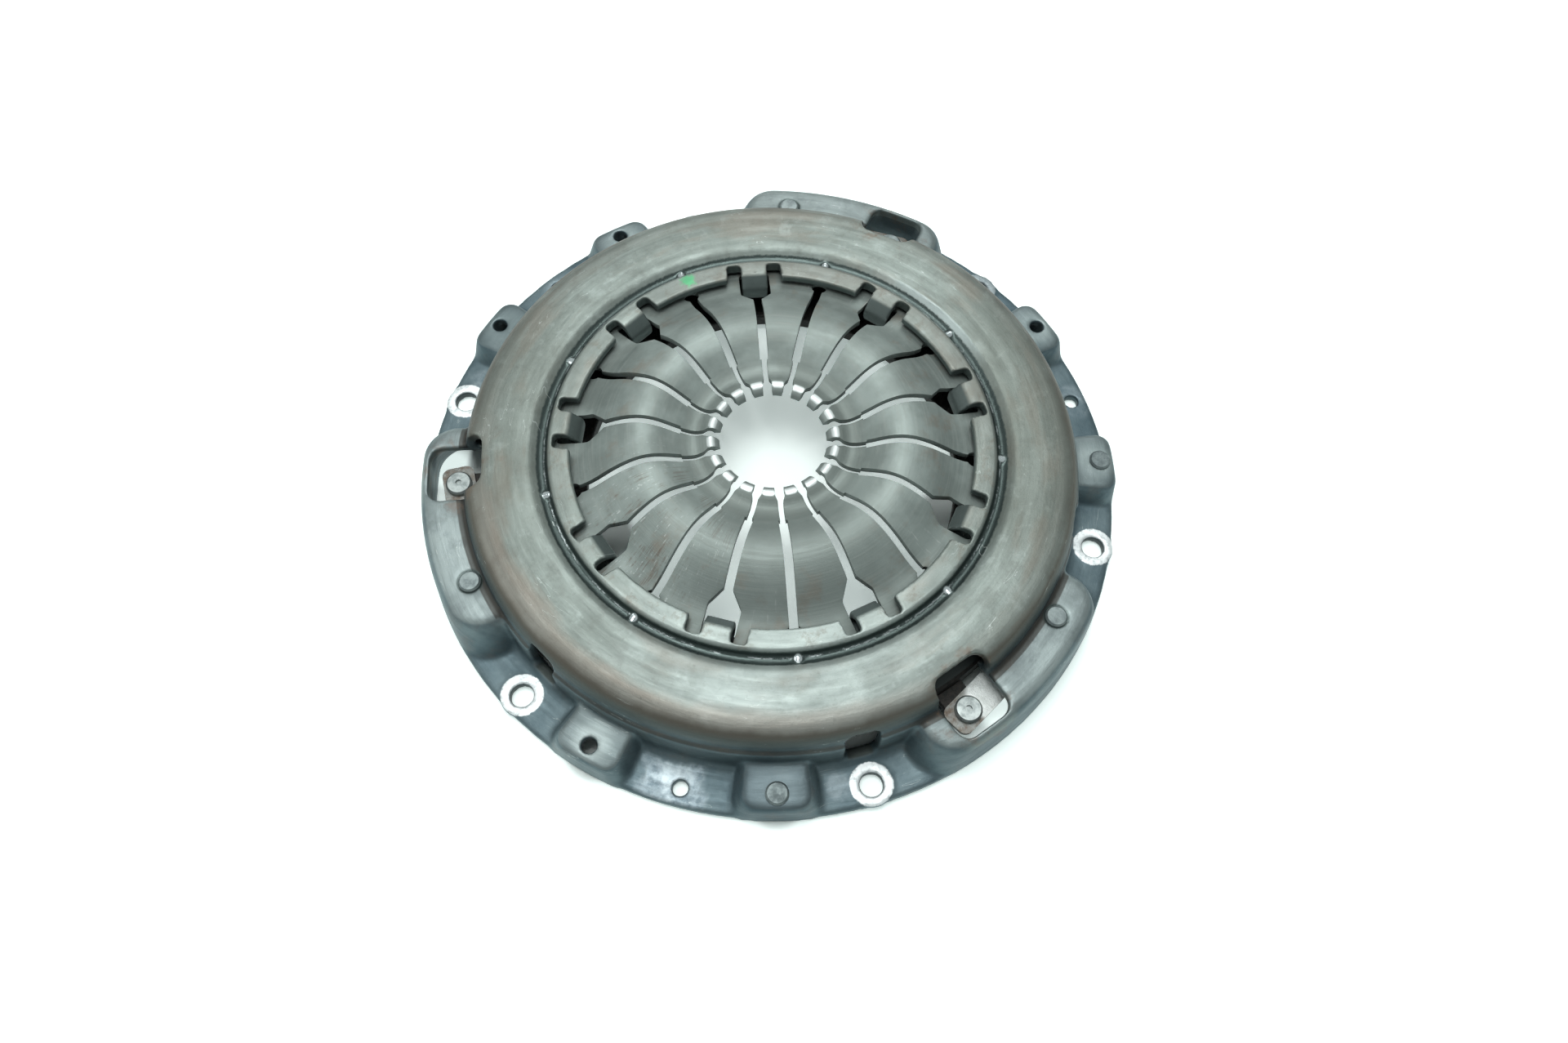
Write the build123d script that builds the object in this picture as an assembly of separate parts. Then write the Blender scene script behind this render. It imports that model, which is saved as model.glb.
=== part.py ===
from build123d import *
import os
from math import cos, degrees, radians, tan

# Push-type clutch cover assembly with a diaphragm spring, for a 235 mm clutch disc.
# Millimetres. Z is the crankshaft axis, +Z points from the flywheel to the release bearing,
# z = 0 is the face of the bolt seats, and the first bolt hole lies on +X.

# ---- pressed steel cover: sheet, flange and bolt seats ----
sheet = 4.0                     # thickness of the cover's sheet
flange_radius = 145.0           # outline of the flange at the bolt seats
bolt_count = 6
bolt_circle_radius = flange_radius - 7.5
bolt_hole_radius = 4.5
seat_radius = 8.4               # coined ring round each bolt hole
seat_height = 0.4

# ---- cover: skirt and dome ----
skirt_radius = 126.5            # outer face of the skirt above the flange
skirt_foot_radius = 4.0         # fillet from skirt to flange
step_height = 20.5              # where the skirt is drawn in
step_depth = 1.7
dome_height = 33.4              # crown of the dome, which is the top of the sheet
shoulder_radius = 9.0
crown_radius = 110.0            # radial place of the crown
crown_drop = 0.9                # how far the dome falls from its crown to each side

# ---- cover: groove with the upper fulcrum bead, and the inner lip ----
fulcrum_radius = 92.5           # circle on which the spring tilts
groove_inner_radius = 90.0      # rim of the groove beside the lip
groove_outer_radius = 97.6      # rim of the groove on the dome
groove_floor_half_width = 1.0
groove_roll = 4.5               # rounding from the dome into the groove
bead_half_width = 1.6           # underside of the groove, which bears on the spring
lip_height = 33.0               # top of the inner lip
lip_radius = 81.4               # inner edge of the lip
pip_radius = 1.7                # locating pips in the groove
pip_rise = 1.5

# ---- cover: bent tabs that carry the lower fulcrum ring ----
tab_count = 9
tab_start = 10.0                # angle of the first tab
tab_width = 11.3
tab_sheet = 2.4                 # tabs are coined thinner than the cover
tab_root_radius = 86.0          # where a tab leaves the lip
tab_edge_radius = 83.0          # bend at the top of the leg
tab_face_radius = 77.8          # inner face of the leg's upright part
tab_knee_height = 27.8          # the leg slopes inwards above this height
tab_bend, tab_knee, tab_foot = 1.4, 2.6, 4.6      # rounding from the top bend down
tab_reach = 3.2                 # how far the tab passes beyond the fulcrum circle
notch_width = 6.0               # relief notch on each side of a tab
notch_depth_radius = 88.0

# ---- cover: sectors with a strap lug and pads ----
sector_count = 3
lug_height = 22.0
lug_radius = flange_radius + 0.2
lug_draft = 2.4                 # how far the outer wall leans in over its height
lug_foot_start, lug_foot_end = 6.6, 53.4      # degrees from the sector's first bolt
lug_top_start, lug_top_end = 9.5, 49.5
lug_corner = 14.0
lug_edge = 5.5                  # rounding of the lug's top edge
pad_angles = (75.0, 105.0)      # raised pads, degrees from the sector's first bolt
low_hole_angle = 90.0           # hole at seat level between the pads
pad_height = 14.0
pad_radius = flange_radius + 0.6
pad_draft = 1.2
pad_foot_half_angle, pad_top_half_angle = 7.6, 5.3
pad_corner = 6.0
pad_edge = 2.6
pad_hole_circle_radius = flange_radius - 7.0
pad_hole_radius = 3.0
wall_lean = 1.3                 # sloping walls need this much more offset than upright ones

# ---- cover: windows over the strap ends and vents beside the bolts ----
window_inner_radius, window_outer_radius = 116.0, 139.6
window_half_width = 11.8
window_corner = 5.0
vent_angles = (-0.4, 60.4)      # degrees from the sector's first bolt
vent_width = 13.0
vent_low, vent_high = 5.5, 27.0
vent_corner = 4.0

# ---- diaphragm spring ----
spring_thickness = 2.6
spring_radius = 117.5
cone_angle = 13.0               # slope of the outer ring, free of the flywheel
cone_inner_radius = 79.0        # where the fingers leave the cone
fulcrum_height = 25.2           # top of the spring at the fulcrum circle
# crown line of a finger: radius and height above the spring's top at the fulcrum
finger_line = ((21.6, 5.4), (22.8, 7.6), (25.2, 8.8), (28.0, 8.0), (31.0, 6.8),
               (37.5, 8.6), (42.5, 11.6), (47.0, 13.8), (53.0, 15.0), (60.5, 13.3),
               (68.0, 9.2), (72.0, 6.4))
tip_mouth_width = 3.8           # the slots widen between the finger tips
tip_mouth_radius = 28.5
slot_narrow, slot_wide = 2.2, 3.6
slot_step_radius = 37.5
plain_slot_end_radius = 82.0
plain_slot_eye_radius = 3.3
window_slot_width = 13.2        # where a tab passes through the spring
window_slot_radii = (68.0, 74.0, 88.0)
window_slot_corner = 2.5

# ---- lower fulcrum ring ----
ring_wire_radius = 1.4
contact_gap = 0.05              # play where pieces bear on each other

# ---- pressure plate ----
plate_radius = 118.2
plate_bore_radius = 77.5
face_height = 3.0               # friction face, free of the flywheel
plate_lift = 6.5                # travel to the released position
plate_clearance = 0.5
ridge_radius = 112.5            # ring on which the spring presses
ridge_half_width = 1.8
ridge_foot_width = 9.0
rim_height = 14.4
plate_lug_radius = 135.0
plate_lug_width = 12.0
plate_lug_bottom = 5.0
plate_lug_top = 9.6

# ---- drive straps and their rivets ----
plate_rivet_radius, plate_rivet_angle = 129.3, 19.3
cover_rivet_radius, cover_rivet_angle = 130.7, 41.0
leaf_count = 3
leaf_thickness = 0.6
leaf_gap = 0.03
strap_width = 13.0
strap_end = 8.4                 # strap beyond the rivet's centre
strap_flat = 9.5                # flat stretch from the rivet's centre to the bend
strap_corner = 3.5
rivet_shank_radius = 2.5
rivet_fit = 0.1                 # radial play of a shank in its hole
rivet_head_radius = 5.3
rivet_head_height = 2.4
rivet_head_edge = 0.7
rivet_dimple_radius = 1.3
rivet_dimple_depth = 0.9
cover_head_radius = 4.3
cover_head_height = 1.3
head_recess_radius = 5.4        # sunk ring round each head on the cover
head_recess_depth = 0.6
closing_head_radius = 4.3
closing_head_height = 1.4
balance_places = (225.0, 315.0)     # pad holes that carry a balancing rivet
balance_head_radius = 4.4
balance_head_height = 1.2

# ---- heights that follow from the sizes above ----
cone_slope = tan(radians(cone_angle))
cone_cosine = cos(radians(cone_angle))
groove_floor_height = fulcrum_height + contact_gap + sheet
lug_underside = lug_height - sheet
strap_stack = leaf_count * leaf_thickness + (leaf_count - 1) * leaf_gap
strap_rise = lug_underside - strap_stack - plate_lug_top
sector_starts = [360.0 / sector_count * k for k in range(sector_count)]
tab_angles = [tab_start + 360.0 / tab_count * k for k in range(tab_count)]
plain_slot_angles = [angle + 180.0 / tab_count for angle in tab_angles]


def spring_top(radius):
    """Height of the cone's upper face."""
    return fulcrum_height - cone_slope * (radius - fulcrum_radius)


def above_spring(radius, distance):
    """Height of a line that lies a distance above the cone's upper face."""
    return spring_top(radius) + distance / cone_cosine


def below_spring(radius, distance):
    """Height of a line that lies a distance below the cone's lower face."""
    return spring_top(radius) - (spring_thickness + distance) / cone_cosine


def turned(shape, angle):
    return Rot(0, 0, angle) * shape


def section(*corners):
    """Face in the XZ plane from corners given as radius, height and fillet."""
    points = [(radius, height) for radius, height, _ in corners]
    fillets = [fillet_radius for _, _, fillet_radius in corners]
    return make_face(Plane.XZ * FilletPolyline(*points, radius=fillets, close=True))


def ring(*corners):
    return revolve(section(*corners), Axis.Z)


def sector(inner, outer, start, end, corner):
    """Flat ring sector whose two outer corners are rounded."""
    outline = [
        CenterArc((0, 0), outer, start, end - start),
        CenterArc((0, 0), inner, start, end - start),
        Line(Vector(inner, 0).rotate(Axis.Z, start), Vector(outer, 0).rotate(Axis.Z, start)),
        Line(Vector(inner, 0).rotate(Axis.Z, end), Vector(outer, 0).rotate(Axis.Z, end)),
    ]
    face = make_face(outline)
    far = [v for v in face.vertices() if Vector(*tuple(v)).length > (inner + outer) / 2]
    return fillet(far, corner)


def drum(radius, low, high):
    return Pos(0, 0, (low + high) / 2) * Cylinder(radius, high - low)


def bulge(foot, top, height, inner, outer, draft, corner):
    """Drawn bulge of the flange: foot and top are start and end angles."""
    base = sector(inner, outer, foot[0], foot[1], corner)
    roof = Pos(0, 0, height) * sector(inner, outer - draft, top[0], top[1], corner)
    return loft([base, roof])


def rounded_bulge(foot, top, height, inner, outer, draft, corner, edge):
    solid = bulge(foot, top, height, inner, outer, draft, corner)
    rim = [e for e in solid.edges().group_by(Axis.Z)[-1] if e.center().length > inner + edge]
    return fillet(rim, edge)


def hollow_of(foot, top, height, inner, outer, draft, corner):
    """Space under a bulge, one sheet inside it on every side."""
    lean = degrees(sheet * wall_lean / outer)
    space = bulge((foot[0] + lean, foot[1] - lean), (top[0] + lean, top[1] - lean),
                  height - sheet, inner, outer - sheet, draft, corner - sheet / 2)
    return space


def dome_shell():
    """Flange, skirt, dome, groove and lip as one pressed sheet, without its bulges."""
    wall = skirt_radius - step_depth
    side = dome_height - crown_drop
    floor_inner = fulcrum_radius - groove_floor_half_width
    floor_outer = fulcrum_radius + groove_floor_half_width
    bead_inner = fulcrum_radius - bead_half_width
    bead_outer = fulcrum_radius + bead_half_width
    return ring(
        (flange_radius, 0, 0.8), (flange_radius, sheet, 0.8),
        (skirt_radius, sheet, skirt_foot_radius),
        (skirt_radius, step_height, 1.2), (wall, step_height + step_depth, 1.2),
        (wall, side, shoulder_radius), (crown_radius, dome_height, 40.0),
        (groove_outer_radius, side, groove_roll),
        (floor_outer, groove_floor_height, 0.9), (floor_inner, groove_floor_height, 0.9),
        (groove_inner_radius, lip_height, 1.0),
        (lip_radius, lip_height, 0.8), (lip_radius, lip_height - sheet, 0.8),
        (groove_inner_radius - 0.8 * sheet, lip_height - sheet, 1.5),
        (bead_inner, above_spring(bead_inner, contact_gap), 1.2),
        (bead_outer, above_spring(bead_outer, contact_gap), 1.2),
        (groove_outer_radius + 0.4 * sheet, side - sheet, 2.0),
        (crown_radius, dome_height - sheet, 40.0),
        (wall - sheet, side - sheet, shoulder_radius - sheet),
        (wall - sheet, step_height + step_depth - sheet / 2, 1.2),
        (skirt_radius - sheet, step_height - sheet / 2, 1.2),
        (skirt_radius - sheet, 0, 0),
    )


def bulge_sizes():
    """Foot angles, top angles, height, outer radius, draft, corner and edge of each bulge."""
    sizes = [((lug_foot_start, lug_foot_end), (lug_top_start, lug_top_end), lug_height,
              lug_radius, lug_draft, lug_corner, lug_edge)]
    for angle in pad_angles:
        foot = (angle - pad_foot_half_angle, angle + pad_foot_half_angle)
        top = (angle - pad_top_half_angle, angle + pad_top_half_angle)
        sizes.append((foot, top, pad_height, pad_radius, pad_draft, pad_corner, pad_edge))
    return sizes


def tab():
    """One tab: bent down through the spring, then outwards under the fulcrum ring."""
    end = fulcrum_radius + tab_reach
    leg_top = below_spring(tab_face_radius, 2 * (ring_wire_radius + contact_gap))
    end_top = below_spring(end, 2 * (ring_wire_radius + contact_gap))
    fall = tab_sheet / cone_cosine
    back = tab_face_radius + tab_sheet
    profile = section(
        (tab_root_radius, lip_height, 0), (tab_edge_radius, lip_height, tab_bend),
        (tab_face_radius, tab_knee_height, tab_knee),
        (tab_face_radius, leg_top - fall, tab_foot), (end, end_top - fall, 0.6),
        (end, end_top, 0.6),
        (back, leg_top - tab_sheet * cone_slope, tab_foot - tab_sheet),
        (back, tab_knee_height - tab_sheet / 2, tab_knee),
        (tab_edge_radius + tab_sheet / 2, lip_height - tab_sheet, tab_bend),
        (tab_root_radius, lip_height - tab_sheet, 0),
    )
    return extrude(profile, tab_width / 2, both=True)


def tab_clearance():
    """Cutters that free a tab: the lip in front of its bend and a relief notch on each side."""
    width = tab_width + notch_width
    reach = tab_edge_radius + tab_sheet / 4 - tab_face_radius
    front = Pos(tab_face_radius + reach / 2, 0) * Rectangle(reach, width)
    shapes = [extrude(Pos(0, 0, lip_height - 1.5 * sheet) * front, 2 * sheet)]
    for side in (-1, 1):
        middle = side * (tab_width + notch_width) / 2
        depth = notch_depth_radius - tab_face_radius
        slot = Pos((notch_depth_radius + tab_face_radius) / 2, middle) * RectangleRounded(
            depth, notch_width, 1.4)
        shapes.append(extrude(Pos(0, 0, lip_height - 1.5 * sheet) * slot, 2 * sheet))
    return shapes


def build_cover():
    inner = skirt_radius - 2 * sheet
    lumps, cutters = [], []
    for start in sector_starts:
        for foot, top, height, outer, draft, corner, edge in bulge_sizes():
            lump = rounded_bulge(foot, top, height, inner, outer, draft, corner, edge)
            lumps.append(turned(lump, start))
            space = hollow_of(foot, top, height, inner - sheet, outer, draft, corner)
            cutters.append(turned(space, start))
    cover = dome_shell() + lumps
    for start in sector_starts:
        opening = Pos((window_inner_radius + window_outer_radius) / 2, 0, lug_underside / 2) * (
            RectangleRounded(window_outer_radius - window_inner_radius,
                             2 * window_half_width, window_corner))
        cutters.append(turned(extrude(opening, dome_height), start + plate_rivet_angle))
        vent = Plane.YZ * Pos(0, (vent_low + vent_high) / 2) * RectangleRounded(
            vent_width, vent_high - vent_low, vent_corner)
        vent = Pos(skirt_radius - 2 * sheet, 0, 0) * extrude(vent, 3 * sheet)
        cutters += [turned(vent, start + angle) for angle in vent_angles]
        shank_hole = Pos(cover_rivet_radius, 0, 0) * drum(
            rivet_shank_radius + rivet_fit, 0, dome_height)
        recess = Pos(cover_rivet_radius, 0, 0) * drum(
            head_recess_radius, lug_height - head_recess_depth, dome_height)
        cutters += [turned(cut, start + cover_rivet_angle) for cut in (shank_hole, recess)]
        pad_hole = Pos(pad_hole_circle_radius, 0, 0) * drum(pad_hole_radius, -sheet, dome_height)
        for angle in (*pad_angles, low_hole_angle):
            cutters.append(turned(pad_hole, start + angle))
    for angle in tab_angles:
        cutters += [turned(cutter, angle) for cutter in tab_clearance()]
    cover = cover - cutters

    seat = Pos(bolt_circle_radius, 0, 0) * drum(seat_radius, sheet / 2, sheet + seat_height)
    bolt_hole = Pos(bolt_circle_radius, 0, 0) * drum(bolt_hole_radius, -sheet, 2 * sheet)
    bolt_angles = [360.0 / bolt_count * k for k in range(bolt_count)]
    cover = cover + [turned(seat, angle) for angle in bolt_angles]
    cover = cover - [turned(bolt_hole, angle) for angle in bolt_angles]

    sunk = pip_radius - pip_rise
    pip = Pos(fulcrum_radius, 0, groove_floor_height - sunk) * Sphere(pip_radius)
    cover = cover + [turned(pip, angle) for angle in plain_slot_angles]
    return cover + [turned(tab(), angle) for angle in tab_angles]


def build_spring():
    """One-piece diaphragm: a cone with two bell-curved fingers for each tab of the cover."""
    start = [(radius, fulcrum_height + rise) for radius, rise in finger_line]
    start.append((cone_inner_radius, spring_top(cone_inner_radius)))
    crown = Spline(*start)
    steps = 12
    lower = []
    for k in range(steps + 1):
        along = crown % (k / steps)
        lower.append(crown @ (k / steps) + Vector(along.Y, -along.X) * spring_thickness)
    belly = Spline(*lower)
    rim = Vector(spring_radius, spring_top(spring_radius))
    rim_lower = rim - Vector(cone_slope, 1) * (spring_thickness * cone_cosine)
    outline = [crown, Line(crown @ 1, rim), Line(rim, rim_lower), Line(rim_lower, belly @ 1),
               belly, Line(belly @ 0, crown @ 0)]
    disc = revolve(make_face(Plane.XZ * Curve(outline)), Axis.Z)

    first = finger_line[0][0] / 2
    narrow = Pos((first + slot_step_radius) / 2, 0) * Rectangle(
        slot_step_radius - first, slot_narrow)
    end = plain_slot_end_radius
    wide = Pos((slot_step_radius + end) / 2, 0) * Rectangle(end - slot_step_radius, slot_wide)
    half_mouth, half_narrow = tip_mouth_width / 2, slot_narrow / 2
    mouth = make_face(Polyline(
        (first, -half_mouth), (tip_mouth_radius - half_mouth, -half_mouth),
        (tip_mouth_radius, -half_narrow), (tip_mouth_radius, half_narrow),
        (tip_mouth_radius - half_mouth, half_mouth), (first, half_mouth), close=True))
    narrow = narrow + mouth
    plain = narrow + wide + Pos(end, 0) * Circle(plain_slot_eye_radius)
    flare_start, flare_end, window_end = window_slot_radii
    half_slot, half_window = slot_wide / 2, window_slot_width / 2
    window = FilletPolyline(
        (flare_start, -half_slot), (flare_end, -half_window), (window_end, -half_window),
        (window_end, half_window), (flare_end, half_window), (flare_start, half_slot),
        radius=(0, window_slot_corner, window_slot_corner, window_slot_corner,
                window_slot_corner, 0), close=True)
    neck = Pos((slot_step_radius + flare_start) / 2, 0) * Rectangle(
        flare_start - slot_step_radius, slot_wide)
    windowed = narrow + neck + make_face(window)
    cutters = [turned(extrude(plain, 2 * dome_height), angle) for angle in plain_slot_angles]
    cutters += [turned(extrude(windowed, 2 * dome_height), angle) for angle in tab_angles]
    return disc - cutters


def build_fulcrum_ring():
    middle = below_spring(fulcrum_radius, ring_wire_radius + contact_gap)
    wire = Plane.XZ * Pos(fulcrum_radius, middle) * Circle(ring_wire_radius)
    return revolve(wire, Axis.Z)


def build_pressure_plate():
    tab_end = fulcrum_radius + tab_reach
    tab_bottom = below_spring(tab_end, 2 * (ring_wire_radius + contact_gap) + tab_sheet)
    web_height = tab_bottom - plate_lift - plate_clearance
    ridge_height = below_spring(ridge_radius + ridge_half_width, contact_gap)
    ridge_inner = ridge_radius - ridge_half_width
    plate = ring(
        (plate_bore_radius, face_height, 0.6), (plate_radius, face_height, 0.8),
        (plate_radius, rim_height, 1.0),
        (ridge_radius + ridge_half_width, ridge_height, 0.8), (ridge_inner, ridge_height, 0.8),
        (ridge_inner - ridge_foot_width / 2, web_height, 3.0),
        (plate_bore_radius, web_height, 1.0),
    )
    lug_start = (plate_radius + ridge_inner) / 2
    lug = Pos((lug_start + plate_lug_radius) / 2, 0, plate_lug_bottom) * Rectangle(
        plate_lug_radius - lug_start, plate_lug_width)
    lug = extrude(lug, plate_lug_top - plate_lug_bottom)
    lug = fillet(lug.edges().filter_by(Axis.Z).group_by(Axis.X)[-1], plate_lug_width / 3)
    hole = Pos(plate_rivet_radius, 0, 0) * drum(rivet_shank_radius + rivet_fit, 0, dome_height)
    for start in sector_starts:
        plate = plate + turned(lug, start + plate_rivet_angle)
        plate = plate - turned(hole, start + plate_rivet_angle)
    return plate


def strap_frame():
    """Plane at the plate rivet whose X axis points to the cover rivet."""
    near = Vector(plate_rivet_radius, 0).rotate(Axis.Z, plate_rivet_angle)
    far = Vector(cover_rivet_radius, 0).rotate(Axis.Z, cover_rivet_angle)
    return Plane(origin=near, x_dir=far - near, z_dir=(0, 0, 1)), (far - near).length


def build_leaf(index):
    """One leaf of a strap, set down from the cover end to the plate end."""
    frame, pitch = strap_frame()
    low = plate_lug_top + index * (leaf_thickness + leaf_gap)
    high = low + strap_rise
    bend = Spline((strap_flat, low), (pitch - strap_flat, high), tangents=((1, 0), (1, 0)))
    lift = Vector(0, leaf_thickness)
    upper = Spline(bend @ 0 + lift, bend @ 1 + lift, tangents=((1, 0), (1, 0)))
    near_end, far_end = -strap_end, pitch + strap_end
    outline = [
        Polyline(bend @ 0, (near_end, low), (near_end, low + leaf_thickness), upper @ 0),
        Polyline(bend @ 1, (far_end, high), (far_end, high + leaf_thickness), upper @ 1),
        bend, upper,
    ]
    leaf = extrude(make_face(Plane.XZ * Curve(outline)), strap_width / 2, both=True)
    leaf = fillet(leaf.edges().filter_by(Axis.Z), strap_corner)
    hole = drum(rivet_shank_radius + rivet_fit, 0, dome_height)
    leaf = leaf - [hole, Pos(pitch, 0, 0) * hole]
    return frame * leaf


def rivet(shank_bottom, shank_top, head_radius, head_height, dimple):
    """Rivet on the Z axis with a set head on top and a closing head below."""
    body = drum(rivet_shank_radius, shank_bottom, shank_top)
    head = drum(head_radius, shank_top, shank_top + head_height)
    head = chamfer(head.edges().group_by(Axis.Z)[-1], rivet_head_edge)
    closing = drum(closing_head_radius, shank_bottom - closing_head_height, shank_bottom)
    closing = chamfer(closing.edges().group_by(Axis.Z)[0], rivet_head_edge)
    body = body + head + closing
    if dimple:
        top = shank_top + head_height
        body = body - drum(rivet_dimple_radius, top - rivet_dimple_depth, top + 1)
    return body


def build_plate_rivet():
    solid = rivet(plate_lug_bottom, plate_lug_top + strap_stack,
                  rivet_head_radius, rivet_head_height, True)
    return turned(Pos(plate_rivet_radius, 0, 0) * solid, plate_rivet_angle)


def build_cover_rivet():
    solid = rivet(lug_underside - strap_stack, lug_height - head_recess_depth,
                  cover_head_radius, cover_head_height, False)
    return turned(Pos(cover_rivet_radius, 0, 0) * solid, cover_rivet_angle)


def build_balance_rivet():
    shank = drum(pad_hole_radius - rivet_fit, pad_height - 1.2 * sheet, pad_height)
    head = drum(balance_head_radius, pad_height, pad_height + balance_head_height)
    head = chamfer(head.edges().group_by(Axis.Z)[-1], rivet_head_edge)
    return Pos(pad_hole_circle_radius, 0, 0) * (shank + head)


def write(node, shape):
    export_step(shape, f"parts/{node}.step")


os.makedirs("parts", exist_ok=True)
write("cover", build_cover())
write("diaphragm_spring", build_spring())
write("fulcrum_ring", build_fulcrum_ring())
write("pressure_plate", build_pressure_plate())
for number, start in enumerate(sector_starts, 1):
    for index in range(leaf_count):
        write(f"strap_{number}_leaf_{index + 1}", turned(build_leaf(index), start))
    write(f"plate_rivet_{number}", turned(build_plate_rivet(), start))
    write(f"cover_rivet_{number}", turned(build_cover_rivet(), start))
for number, angle in enumerate(balance_places, 1):
    write(f"balance_rivet_{number}", turned(build_balance_rivet(), angle))
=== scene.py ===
import math

import bpy
from mathutils import Matrix, Vector


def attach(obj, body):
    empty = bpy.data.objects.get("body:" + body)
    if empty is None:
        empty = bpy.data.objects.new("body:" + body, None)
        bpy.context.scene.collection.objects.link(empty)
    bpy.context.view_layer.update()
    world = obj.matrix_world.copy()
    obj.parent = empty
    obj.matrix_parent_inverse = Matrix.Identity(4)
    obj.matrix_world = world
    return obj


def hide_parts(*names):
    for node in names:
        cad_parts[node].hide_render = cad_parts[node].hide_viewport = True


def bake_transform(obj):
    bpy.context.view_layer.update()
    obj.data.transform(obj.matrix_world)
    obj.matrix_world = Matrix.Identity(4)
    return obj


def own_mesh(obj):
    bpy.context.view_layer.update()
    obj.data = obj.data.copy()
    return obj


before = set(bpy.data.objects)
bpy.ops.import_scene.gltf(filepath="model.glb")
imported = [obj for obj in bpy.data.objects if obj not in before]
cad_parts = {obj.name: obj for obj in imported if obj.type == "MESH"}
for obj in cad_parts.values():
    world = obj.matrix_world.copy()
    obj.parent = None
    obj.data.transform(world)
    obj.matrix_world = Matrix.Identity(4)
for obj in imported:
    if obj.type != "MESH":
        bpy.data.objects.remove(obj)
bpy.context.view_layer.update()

# ---- places on the clutch: circle radius in metres, first angle in degrees, how many ----

BOLT_SEATS = (0.1375, 0, 6)
FIRST_BOLT_SEAT = (0.1375, 0, 1)
COVER_RIVETS = (0.1307, 41, 3)
WINDOWS = (0.1278, 19.3, 3)
PAD_HOLES = ((0.1380, 75, 3), (0.1380, 90, 3), (0.1380, 105, 3))
SIDE_PADS = ((0.1355, 75, 3), (0.1355, 105, 3))
BESIDE_BOLTS = (0.1355, 115, 3)
GROOVE_PIPS = (0.0925, 30, 9)
FINGER_TIPS = (0.0253, 0, 18)

# ---- the circles (radii) and levels (heights) over which one zone gives way to the next ----

DOME_EDGE = (0.1165, 0.1190)
DOME_BROWNED = (0.1165, 0.1225)
SKIRT_WALL = (0.118, 0.121)
PAST_SKIRT = (0.1262, 0.1275)
SKIRT_FOOT = (0.1252, 0.1282)
LIP = (0.0910, 0.0900)
LIP_RIM = (0.0905, 0.0895)
GROOVE = (0.0906, 0.0946)
GROOVE_LINE = (0.0919, 0.0921)
GROOVE_ROLL = (0.0951, 0.0970)
CROWN_LEVEL = (0.0326, 0.0306)
SHOULDER_LEVEL = (0.0312, 0.0280)
LIP_LEVEL = (0.0318, 0.0326)
LIP_EDGE_LEVEL = (0.0328, 0.0318)
DAB_LEVEL = (0.031, 0.0325)
GROOVE_LEVEL = (0.0326, 0.0312)
PIP_LEVEL = (0.0296, 0.0300)
WALL_LEVEL = (0.0285, 0.0235)
LUG_LEVEL = (0.0245, 0.0228)
SEAM_LEVEL = (0.0212, 0.0235)
RIVET_GAP_LEVEL = (0.0219, 0.0216)
WINDOW_LEVEL = (0.0178, 0.0225)
FLANGE_WALL_LEVEL = (0.0165, 0.0130)
PAD_LEVEL = (0.0120, 0.0132)
FLANGE_LEVEL = (0.0105, 0.0085)
SEAT_LEVEL = (0.0072, 0.0055)
BORE_LEVEL = (0.0040, 0.0034)
TURNED_LEVEL = (0.0036, 0.0031)

# ---- finishes ----

PATTERN_RADIUS = 0.11           # patterns that follow the circle have their true size here

# the nodes that the finishes are made of, with their settings
TIMES = ("Math", {"operation": "MULTIPLY"})
PLUS = ("Math", {"operation": "ADD"})
MINUS = ("Math", {"operation": "SUBTRACT"})
OVER = ("Math", {"operation": "DIVIDE"})
LARGER = ("Math", {"operation": "MAXIMUM"})
SMALLER = ("Math", {"operation": "MINIMUM"})
ROUNDED = ("Math", {"operation": "ROUND"})
SINE = ("Math", {"operation": "SINE"})
COSINE = ("Math", {"operation": "COSINE"})
ROOT = ("Math", {"operation": "SQRT"})
BEARING = ("Math", {"operation": "ARCTAN2"})
LENGTH = ("VectorMath", {"operation": "LENGTH"})
UNIT = ("VectorMath", {"operation": "NORMALIZE"})
STRETCH = ("VectorMath", {"operation": "SCALE"})
SUM = ("VectorMath", {"operation": "ADD"})
AXES = ("SeparateXYZ", {})
JOINED = ("CombineXYZ", {})
EASE = ("MapRange", {"interpolation_type": "SMOOTHSTEP"})    # value, from, to, at from, at to
NOISE = ("TexNoise", {})                                     # place, 1 / size, detail, roughness
OVERLAY = ("Mix", {"data_type": "RGBA"})                     # how much, below, above
COORDINATES = ("TexCoord", {})
SURFACE = ("NewGeometry", {})
HOLLOWS = ("AmbientOcclusion", {"only_local": True, "samples": 6})
RELIEF = ("Bump", {})
RAYS = ("LightPath", {})
GLOW = ("Emission", {})
BOTH = ("AddShader", {})


def linear(hex_colour):
    """Turns an sRGB hex colour into the linear colour that a shader takes."""
    parts = [int(hex_colour[k:k + 2], 16) / 255 for k in (1, 3, 5)]
    return (*(p / 12.92 if p <= 0.04045 else ((p + 0.055) / 1.055) ** 2.4 for p in parts), 1)


def shown_first(node):
    """The first output that a node shows."""
    return next(socket for socket in node.outputs if socket.enabled)


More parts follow.
